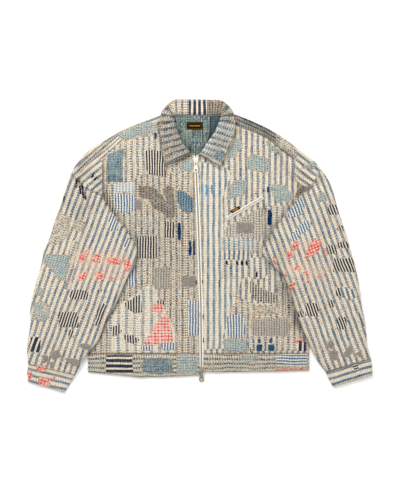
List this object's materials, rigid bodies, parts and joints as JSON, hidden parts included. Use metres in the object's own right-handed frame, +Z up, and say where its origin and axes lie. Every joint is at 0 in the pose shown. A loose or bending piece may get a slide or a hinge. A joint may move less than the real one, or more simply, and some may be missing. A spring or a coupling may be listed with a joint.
{
  "type": "patched boro jacket",
  "caption": "Zip-front cotton jacket of sewn patches, laid flat on its back with its sleeves along its sides; two zip pull tabs lift.",
  "frame": {"origin": "middle of the whole jacket's box, on the surface it lies on", "axes": "+X across to the wearer's left, +Y from hem to collar, +Z up from the surface to the front of the jacket"},
  "size_m": [0.862, 0.731, 0.013],
  "materials": {
    "striped_cotton": "washed matt",
    "indigo_striped_cotton": "washed matt",
    "washed_chambray": "washed matt",
    "pale_cotton": "washed matt",
    "faded_denim": "worn twill",
    "navy_cotton": "washed matt",
    "taupe_cotton": "washed matt",
    "sky_cotton": "washed matt",
    "red_gingham": "washed matt",
    "white_tape": "woven tape",
    "black_label": "woven",
    "zip_teeth": "pale, worn",
    "white_enamel": "satin enamel",
    "aged_nickel": "aged nickel plate"
  },
  "bodies": {
    "garment": {"back": "washed_chambray", "yoke_right": "striped_cotton", "yoke_left": "striped_cotton", "front_right": "indigo_striped_cotton", "front_left": "striped_cotton", "sleeve_right": "striped_cotton", "sleeve_left": "striped_cotton", "cuff_right": "indigo_striped_cotton", "cuff_left": "indigo_striped_cotton", "waistband": "indigo_striped_cotton", "collar": "striped_cotton", "pocket_right": "striped_cotton", "pocket_left": "indigo_striped_cotton", "chest_zip": "white_tape", "chest_tab": "black_label", "neck_label": "black_label", "patch_denim_chest": "faded_denim", "patch_dark_stripe": "navy_cotton", "patch_taupe": "taupe_cotton", "patch_blue_dots": "faded_denim", "patch_sky_stripe": "sky_cotton", "patch_pale_neck": "pale_cotton", "patch_pale_shoulder": "pale_cotton", "patch_pale_chest": "pale_cotton", "patch_pale_armhole": "pale_cotton", "patch_chest_panel": "taupe_cotton", "patch_gingham": "red_gingham", "patch_pocket_blue": "sky_cotton", "patch_pocket_taupe": "taupe_cotton", "patch_denim_hem": "faded_denim", "zip_tape_right": "white_tape", "zip_tape_left": "white_tape", "zip_chain": "zip_teeth", "slider_top": "white_enamel", "slider_bottom": "aged_nickel"},
    "top_pull": {"pull_top": "white_enamel"},
    "bottom_pull": {"pull_bottom": "aged_nickel"}
  },
  "joints": [
    {"name": "top_pull_lift", "type": "hinge", "parent": "garment", "child": "top_pull", "pos_m": [-0.00989, 0.2089, 0.00845], "axis": [-1, 0, 0], "range_deg": [0, 160]},
    {"name": "bottom_pull_lift", "type": "hinge", "parent": "garment", "child": "bottom_pull", "pos_m": [0.0045, -0.3141, 0.00845], "axis": [-1, 0, 0], "range_deg": [0, 160]}
  ]
}
